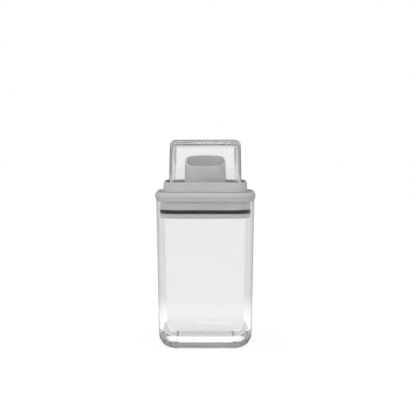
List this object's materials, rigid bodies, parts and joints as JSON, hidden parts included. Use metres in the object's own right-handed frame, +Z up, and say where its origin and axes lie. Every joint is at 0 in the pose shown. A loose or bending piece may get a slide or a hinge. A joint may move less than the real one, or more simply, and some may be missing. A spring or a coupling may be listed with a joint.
{
  "type": "food dispenser container",
  "caption": "Square clear kitchen jar with a grey plug-in lid, a slanted pour spout and a clear measuring cup that stands over the spout as its cap.",
  "frame": {"origin": "middle of the foot, on the surface that the jar stands on", "axes": "+Z up, -Y towards the front, which the opening of the spout faces, +X to the right seen from the front"},
  "size_m": [0.0988, 0.0988, 0.204],
  "materials": {
    "clear_plastic": "clear moulded plastic, polished",
    "grey_plastic": "light grey moulded plastic, satin",
    "black_silicone": "black moulded silicone, satin"
  },
  "bodies": {
    "jar": {"jar": "clear_plastic"},
    "lid": {"lid_cover": "grey_plastic", "lid_plug": "grey_plastic", "lid_gasket": "black_silicone", "cup_gasket": "black_silicone"},
    "cup": {"measuring_cup": "clear_plastic"}
  },
  "joints": [
    {"name": "lid_lift", "type": "slide", "parent": "jar", "child": "lid", "axis": [0, 0, 1], "range_m": [0, 0.04]},
    {"name": "cup_lift", "type": "slide", "parent": "lid", "child": "cup", "axis": [0, 0, 1], "range_m": [0, 0.06]}
  ]
}
